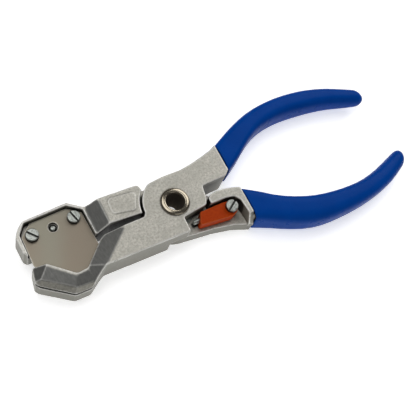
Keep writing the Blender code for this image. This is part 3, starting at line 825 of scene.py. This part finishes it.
@dataclass
class Skin:
    """Finely meshed copy of a CAD node with softened edges and the masks of its wear, highlight and
    painted shade.

    Attributes:
        node: CAD node that the piece stands for.
        voxel: Size of the mesh, in millimetres.
        rounds: Rounds of smoothing, which soften the edges.
        facets: Whether the piece gets painted shade on its gently tilted slopes.
        around: Surfaces that its gaps are measured to, if painted shade is laid in them.
        reach: Widest gap that gets painted shade, in millimetres.
        slot_depth: Depth under the top, in millimetres, from which faces that look up get painted
        shade, or nought for a piece without a slot.
        rules: How the masks are drawn.
    """

    node: str
    voxel: float
    rounds: int
    facets: bool = False
    around: BVHTree | None = None
    reach: float = 7.0
    slot_depth: float = 0.0
    rules: MaskRules = MaskRules()

    def build(self) -> Object:
        """Make the piece at its node's place.

        Returns:
            The piece, which has no material yet.
        """
        source = bpy.data.objects[self.node]
        blank = bpy.data.objects.new(self.node + "_blank", source.data.copy())
        bpy.context.scene.collection.objects.link(blank)
        mesher = blank.modifiers.new("mesher", "REMESH")
        mesher.mode = "VOXEL"
        mesher.voxel_size = self.voxel * MM
        softener = blank.modifiers.new("softener", "SMOOTH")
        softener.factor = 0.5
        softener.iterations = self.rounds
        seen = blank.evaluated_get(bpy.context.evaluated_depsgraph_get())
        mesh = bpy.data.meshes.new_from_object(seen)
        bpy.data.objects.remove(blank)
        mesh.name = self.node + "_skin"
        mesh.shade_smooth()
        self.add_masks(mesh)
        piece = bpy.data.objects.new(self.node + "_skin", mesh)
        bpy.context.scene.collection.objects.link(piece)
        return piece

    def add_masks(self, mesh: bpy.types.Mesh) -> None:
        """Write the masks of edge wear and highlight, and of painted shade in hollows, on walls, on slopes
        and in gaps, on the mesh's points.

        Args:
            mesh: Mesh to write on.
        """
        rules = self.rules
        count = len(mesh.vertices)
        points = read_rows(mesh.vertices, "co", count, 3, np.float32).astype(float)
        normals = read_rows(mesh.vertex_normals, "vector", count, 3, np.float32).astype(float)
        ends = read_rows(mesh.edges, "vertices", len(mesh.edges), 2, np.int32)
        spread = Spread(ends, count)
        hollow = np.einsum("ij,ij->i", spread.mean(points) - points, normals) / (self.voxel * MM)
        hollow = spread.blur(hollow, 1)
        # Convex points get the bright edge mask, part wear and part painted highlight.
        wear_and_highlight = np.clip(-hollow * rules.wear_and_highlight_gain - rules.wear_and_highlight_start, 0.0, 1.0)
        # Concave points get painted corner shade.
        corner_shade = np.clip(hollow * rules.cavity_gain - rules.cavity_start, 0.0, 1.0)
        # The wall mask marks where steep faces get painted shade.
        walls = np.clip((rules.wall_tilt - np.abs(normals[:, 2])) / rules.wall_span, 0.0, 1.0)
        self.store(mesh, Mask.WEAR_AND_HIGHLIGHT, spread.blur(wear_and_highlight, 1))
        self.store(mesh, Mask.CAVITY, spread.blur(corner_shade, 2))
        self.store(mesh, Mask.WALL, walls)
        # The slope mask marks where painted shade goes on gently tilted faces.
        self.store(mesh, Mask.FACET, self.shaded_slopes(normals, spread))
        # Points close to another surface, or low in a slot, get painted gap shade.
        if self.around:
            near = spread.blur(self.closeness(points, normals), 3)
            self.store(mesh, Mask.GAP, np.clip(near * rules.gap_shade_gain, 0.0, 1.0))
        elif self.slot_depth > 0:
            low = points[:, 2] < points[:, 2].max() - self.slot_depth * MM
            deep = (low & (normals[:, 2] > rules.slot_tilt)).astype(float)
            self.store(mesh, Mask.GAP, spread.blur(deep, 1))

    def shaded_slopes(self, normals: np.ndarray, spread: Spread) -> np.ndarray:
        """Find the patches of gently sloped faces, which get painted shade.

        Args:
            normals: Normal of each point.
            spread: Neighbours of each point.

        Returns:
            Mask of the patches, with soft edges.
        """
        if not self.facets:
            return np.zeros(len(normals))
        tilt = spread.blur(normals[:, 2], 3)
        least, greatest = self.rules.facet_tilt
        patch = ((tilt > least) & (tilt < greatest)).astype(float)
        patch = spread.grow(spread.shrink(patch, self.rules.facet_draw_in), self.rules.facet_let_out)
        return spread.blur(patch, 3)

    def closeness(self, points: np.ndarray, normals: np.ndarray) -> np.ndarray:
        """Measure how near the next surface is, looking out from each point and a little up.

        Args:
            points: Place of each point.
            normals: Normal of each point.

        Returns:
            Nought where nothing is in reach, up to one in the narrowest gaps.
        """
        reach = self.reach * MM
        looks = normals + np.array((0.0, 0.0, self.rules.look_up))
        looks /= np.maximum(np.linalg.norm(looks, axis=1, keepdims=True), 1e-6)
        starts = points + normals * self.rules.step_off * MM
        near = np.zeros(len(points))
        for index, (start, look) in enumerate(zip(starts.tolist(), looks.tolist())):
            distance = self.around.ray_cast(start, look, reach)[3]
            if distance is not None:
                near[index] = 1.0 - distance / reach
        return np.clip(near * self.rules.close_gain, 0.0, 1.0)

    @staticmethod
    def store(mesh: bpy.types.Mesh, which: Mask, values: np.ndarray) -> None:
        """Keep a mask as a point attribute."""
        layer = mesh.attributes.new(which.value, "FLOAT", "POINT")
        layer.data.foreach_set("value", values.astype(np.float32))


def read_rows(
    items: bpy.types.bpy_prop_collection, name: str, count: int, width: int, kind: type
) -> np.ndarray:
    """Read one property of all of a mesh's points or edges.

    Args:
        items: The points or edges.
        name: Name of the property.
        count: Number of items.
        width: Numbers in the property.
        kind: Type of number.

    Returns:
        A row for each item.
    """
    values = np.empty(count * width, kind)
    items.foreach_get(name, values)
    return values.reshape(-1, width)


def surfaces(nodes: list[str]) -> BVHTree:
    """Make a search tree over the faces of some CAD nodes.

    Args:
        nodes: Names of the nodes.

    Returns:
        The tree, in the frame's coordinates.
    """
    points: list[Vector] = []
    faces: list[list[int]] = []
    for node in nodes:
        mesh = bpy.data.objects[node].data
        first = len(points)
        points.extend(vertex.co.copy() for vertex in mesh.vertices)
        faces.extend([first + index for index in face.vertices] for face in mesh.polygons)
    return BVHTree.FromPolygons(points, faces)


def dress(piece: Object, finish: Material, slot: Slot, body: Body, *nodes: str) -> None:
    """Give a piece its finish and body, and let it stand for its CAD nodes.

    Args:
        piece: The piece.
        finish: Its material.
        slot: Not used.
        body: The body it moves with.
        nodes: CAD nodes it stands for.
    """
    piece.data.materials.clear()
    piece.data.materials.append(finish)
    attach(piece, body.value)
    if nodes:
        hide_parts(*nodes)
    LOG.info("%s on %s, %d faces", piece.name, body.value, len(piece.data.polygons))


@dataclass(frozen=True)
class SteelPart:
    """Small zinc-plated part: a screw, the dowel, the catch's pin or a washer.

    Attributes:
        node: CAD node that it stands for.
        body: Body that it moves with.
        slot_depth: Depth under its top from which it gets painted shade, in millimetres.
        voxel: Size of its mesh, in millimetres.
        rounds: Rounds of smoothing.
    """

    node: str
    body: Body
    slot_depth: float = 0.0
    voxel: float = 0.11
    rounds: int = 3

    def build(self, finishes: Finishes) -> None:
        """Make and dress the part."""
        piece = Skin(self.node, self.voxel, self.rounds, slot_depth=self.slot_depth).build()
        dress(piece, finishes.zinc, Slot.ZINC, self.body, self.node)


@dataclass
class Levers:
    """Both cast levers with the upper and lower jaws."""

    voxel: float = 0.32
    rounds: int = 5

    def build(self, finishes: Finishes, around: BVHTree) -> None:
        """Make and dress the castings.

        Args:
            finishes: The tool's finishes.
            around: Surfaces of the whole tool, which the gaps are measured to.
        """
        for node, body in (("front_lever", Body.ANVIL_LEVER), ("back_lever", Body.BLADE_LEVER)):
            piece = Skin(node, self.voxel, self.rounds, facets=True, around=around).build()
            dress(piece, finishes.cast, Slot.ALLOY, body, node)


@dataclass
class Grips:
    """The two dipped sleeves."""

    voxel: float = 0.5
    rounds: int = 14

    def build(self, finishes: Finishes) -> None:
        """Make and dress the grips.

        Args:
            finishes: The tool's finishes.
        """
        for node, body in (("upper_grip", Body.ANVIL_LEVER), ("lower_grip", Body.BLADE_LEVER)):
            piece = Skin(node, self.voxel, self.rounds).build()
            dress(piece, finishes.grip, Slot.GRIP, body, node)


@dataclass
class Cutter:
    """The plate blade, its two slotted screws and its dowel."""

    plate_voxel: float = 0.2
    plate_rounds: int = 2
    slot_depth: float = 0.7
    dowel_depth: float = 0.3

    def build(self, finishes: Finishes) -> None:
        """Make and dress the blade and what holds it.

        Args:
            finishes: The tool's finishes.
        """
        plate = Skin("blade", self.plate_voxel, self.plate_rounds).build()
        dress(plate, finishes.blade, Slot.BLADE, Body.BLADE_LEVER, "blade")
        for screw in ("blade_screw_outer", "blade_screw_inner"):
            SteelPart(screw, Body.BLADE_LEVER, self.slot_depth).build(finishes)
        SteelPart("blade_dowel", Body.BLADE_LEVER, self.dowel_depth).build(finishes)


@dataclass
class Pivot:
    """The hollow rivet and its washers."""

    voxel: float = 0.16
    ring_rounds: int = 8

    def build(self, finishes: Finishes) -> None:
        """Make and dress the rivet and washers.

        The washer between the levers is out of sight, so its CAD solid only takes the finish.

        Args:
            finishes: The tool's finishes.
        """
        ring = Skin("pivot_rivet", self.voxel, self.ring_rounds).build()
        dress(ring, finishes.nickel, Slot.NICKEL, Body.BLADE_LEVER, "pivot_rivet")
        SteelPart("rivet_washer", Body.BLADE_LEVER, voxel=self.voxel).build(finishes)
        lap = bpy.data.objects["lap_washer"]
        lap.data.materials.clear()
        lap.data.materials.append(finishes.zinc)
        LOG.info("%s kept from the frame, %d faces", lap.name, len(lap.data.polygons))


@dataclass
class Catch:
    """The orange catch, its steel pin and its screw."""

    voxel: float = 0.2
    rounds: int = 4
    slot_depth: float = 0.7

    def build(self, finishes: Finishes) -> None:
        """Make and dress the catch.

        Args:
            finishes: The tool's finishes.
        """
        arm = Skin("catch", self.voxel, self.rounds).build()
        dress(arm, finishes.orange, Slot.ORANGE, Body.CATCH_ARM, "catch")
        SteelPart("catch_pin", Body.CATCH_ARM).build(finishes)
        SteelPart("catch_screw", Body.BLADE_LEVER, self.slot_depth).build(finishes)


@dataclass(frozen=True)
class Softbox:
    """Square soft light.

    Attributes:
        name: Name of the light.
        place: Where it stands.
        aim: What it points at.
        size: Side of the square.
        power: Power in watts.
    """

    name: str
    place: Triple
    aim: Triple
    size: float
    power: float

    def build(self) -> None:
        """Add the light to the scene."""
        light = bpy.data.lights.new(self.name, "AREA")
        light.size = self.size
        light.energy = self.power
        holder = bpy.data.objects.new(self.name, light)
        holder.location = self.place
        look = Vector(self.aim) - Vector(self.place)
        holder.rotation_euler = look.to_track_quat("-Z", "Y").to_euler()
        bpy.context.scene.collection.objects.link(holder)


@dataclass
class Studio:
    """Pale floor, soft lights and the camera.

    Attributes:
        sensor: Width of the camera's sensor, in millimetres.
        lens: Focal length, in millimetres.
        clip_start: Nearest distance that the camera sees.
        camera_shift: The camera's place from the rivet's axis on the front face, in millimetres.
        camera_right: Direction to the right of the view.
        camera_down: Direction down the view.
        floor_size: Side of the floor.
        floor_drop: How far the floor lies under the tool.
        surround: Strength of the even light from all round.
        softboxes: The soft lights.
    """

    sensor: float = 36.0
    lens: float = 68.5714
    clip_start: float = 0.01
    camera_shift: Triple = (-139.88, -123.21, 366.97)
    camera_right: Triple = (0.85805, -0.46391, 0.22033)
    camera_down: Triple = (-0.35186, -0.84352, -0.40579)
    floor_size: float = 60.0
    floor_drop: float = 0.05 * MM
    surround: float = 0.16
    softboxes: tuple[Softbox, ...] = (
        Softbox("back_key", (1.2, 0.7, 1.2), (0.0, 0.0, 0.0), 1.1, 12.0),
        Softbox("left_fill", (-0.2, 0.25, 0.9), (-0.1, 0.0, 0.0), 0.6, 3.2),
        Softbox("front_fill", (0.1, -1.0, 0.7), (0.0, 0.0, 0.0), 0.8, 1.3),
    )

    def build(self, pivot: Vector) -> None:
        """Set up the floor, lights and camera.

        Args:
            pivot: Where the rivet's axis meets the front face.
        """
        self.add_floor()
        self.add_world()
        for softbox in self.softboxes:
            softbox.build()
        self.add_camera(pivot)
        LOG.info("studio with %d softboxes", len(self.softboxes))

    def add_floor(self) -> None:
        """Add the pale floor under the tool."""
        mesh = bpy.data.meshes.new("floor")
        work = bmesh.new()
        bmesh.ops.create_grid(work, x_segments=1, y_segments=1, size=self.floor_size / 2)
        work.to_mesh(mesh)
        work.free()
        floor = bpy.data.objects.new("floor", mesh)
        floor.location.z = -self.floor_drop
        bpy.context.scene.collection.objects.link(floor)
        mesh.materials.append(FloorFinish().build())

    def add_world(self) -> None:
        """Add an even pale surround."""
        world = bpy.data.worlds.new("surround")
        world.use_nodes = True
        back = world.node_tree.nodes["Background"]
        back.inputs["Color"].default_value = (*WHITE, 1.0)
        back.inputs["Strength"].default_value = self.surround
        bpy.context.scene.world = world
        bpy.context.scene.view_settings.view_transform = "Standard"

    def add_camera(self, pivot: Vector) -> None:
        """Add the camera.

        Args:
            pivot: Where the rivet's axis meets the front face.
        """
        data = bpy.data.cameras.new("camera")
        data.sensor_width = self.sensor
        data.lens = self.lens
        data.clip_start = self.clip_start
        camera = bpy.data.objects.new("camera", data)
        right = Vector(self.camera_right).normalized()
        back = right.cross(-Vector(self.camera_down)).normalized()
        up = back.cross(right)
        turn = Matrix((right, up, back)).transposed().to_4x4()
        turn.translation = pivot + Vector(self.camera_shift) * MM
        camera.matrix_world = turn
        bpy.context.scene.collection.objects.link(camera)
        bpy.context.scene.camera = camera


def main() -> None:
    """Load the frame and build every piece in order."""
    logging.basicConfig(level=logging.INFO, format="%(message)s")
    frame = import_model()
    hinge = next(joint for joint in frame["joints"] if joint["name"] == "lever_hinge")
    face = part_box("front_lever")[1].z
    finishes = Finishes.make()
    Levers().build(finishes, surfaces(list(frame["nodes"])))
    Grips().build(finishes)
    Cutter().build(finishes)
    Pivot().build(finishes)
    Catch().build(finishes)
    Studio().build(Vector((hinge["pos_m"][0], hinge["pos_m"][1], face)))


if __name__ == "__main__":
    main()
